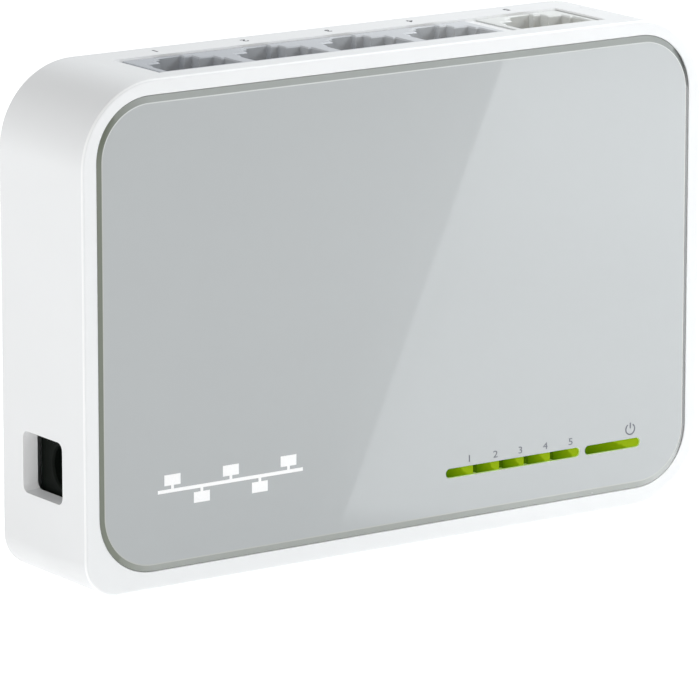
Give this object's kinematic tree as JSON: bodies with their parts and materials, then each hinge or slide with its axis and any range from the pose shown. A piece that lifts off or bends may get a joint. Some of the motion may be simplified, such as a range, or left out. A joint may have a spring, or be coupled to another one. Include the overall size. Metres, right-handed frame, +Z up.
{
  "type": "desktop network switch",
  "caption": "Small plastic desktop network switch with rounded corners, a glossy grey front panel with a green light strip, modular jacks along the top edge and a side power jack.",
  "frame": {"origin": "middle of the bottom of the overall box, with the switch standing on its long lower edge", "axes": "+X along the front from the power jack's side, +Y from the front panel to the back cover, +Z up, out of the network jacks"},
  "size_m": [0.1036, 0.022, 0.07],
  "materials": {
    "white_plastic": "fine satin",
    "grey_panel": "high gloss",
    "foot_rubber": "matte",
    "light_guide": "clear green, lit",
    "dark_plastic": "matte",
    "board": "solder resist",
    "jack_plastic": "satin",
    "black_plastic": "satin",
    "led_body": "clear over white",
    "contact_metal": "gold plated",
    "steel": "plated",
    "metal_can": "bright"
  },
  "bodies": {
    "casing": {"body_shell": "white_plastic", "base_cover": "white_plastic", "front_panel": "grey_panel", "led_baffle": "dark_plastic", "pcb": "board", "rj45_gang_housing": "jack_plastic", "rj45_single_housing": "jack_plastic", "dc_jack_housing": "black_plastic", "dc_jack_pin": "steel", "switch_chip": "black_plastic", "transformer_1": "black_plastic", "transformer_2": "black_plastic", "crystal": "metal_can", "regulator": "black_plastic", "inductor": "black_plastic", "rubber_foot_1": "foot_rubber", "rubber_foot_2": "foot_rubber", "rubber_foot_3": "foot_rubber", "rubber_foot_4": "foot_rubber", "cover_screw_1": "steel", "pcb_screw_1": "steel", "cover_screw_2": "steel", "pcb_screw_2": "steel", "capacitor_1": "metal_can", "capacitor_2": "metal_can", "capacitor_3": "metal_can", "led_lens_1": "light_guide", "led_1": "led_body", "led_lens_2": "light_guide", "led_2": "led_body", "led_lens_3": "light_guide", "led_3": "led_body", "led_lens_4": "light_guide", "led_4": "led_body", "led_lens_5": "light_guide", "led_5": "led_body", "led_lens_power": "light_guide", "led_power": "led_body"},
    "port_1_spring_wires": {"port_1_contacts": "contact_metal"},
    "port_2_spring_wires": {"port_2_contacts": "contact_metal"},
    "port_3_spring_wires": {"port_3_contacts": "contact_metal"},
    "port_4_spring_wires": {"port_4_contacts": "contact_metal"},
    "port_5_spring_wires": {"port_5_contacts": "contact_metal"},
    "power_leaf": {"dc_jack_spring": "steel"}
  },
  "joints": [
    {"name": "port_1_wires_flex", "type": "hinge", "parent": "casing", "child": "port_1_spring_wires", "pos_m": [-0.0285, -0.00445, 0.0672], "axis": [-1, 0, 0], "range_deg": [0, 8], "stiffness_Nm_per_rad": 0.3},
    {"name": "port_2_wires_flex", "type": "hinge", "parent": "casing", "child": "port_2_spring_wires", "pos_m": [-0.0143, -0.00445, 0.0672], "axis": [-1, 0, 0], "range_deg": [0, 8], "stiffness_Nm_per_rad": 0.3},
    {"name": "port_3_wires_flex", "type": "hinge", "parent": "casing", "child": "port_3_spring_wires", "pos_m": [-0.00015, -0.00445, 0.0672], "axis": [-1, 0, 0], "range_deg": [0, 8], "stiffness_Nm_per_rad": 0.3},
    {"name": "port_4_wires_flex", "type": "hinge", "parent": "casing", "child": "port_4_spring_wires", "pos_m": [0.014, -0.00445, 0.0672], "axis": [-1, 0, 0], "range_deg": [0, 8], "stiffness_Nm_per_rad": 0.3},
    {"name": "port_5_wires_flex", "type": "hinge", "parent": "casing", "child": "port_5_spring_wires", "pos_m": [0.0303, -0.00445, 0.0672], "axis": [-1, 0, 0], "range_deg": [0, 8], "stiffness_Nm_per_rad": 0.3},
    {"name": "power_leaf_flex", "type": "hinge", "parent": "casing", "child": "power_leaf", "pos_m": [-0.0382, 0.0029, 0.0163], "axis": [0, 0, -1], "range_deg": [0, 8], "stiffness_Nm_per_rad": 0.07}
  ]
}
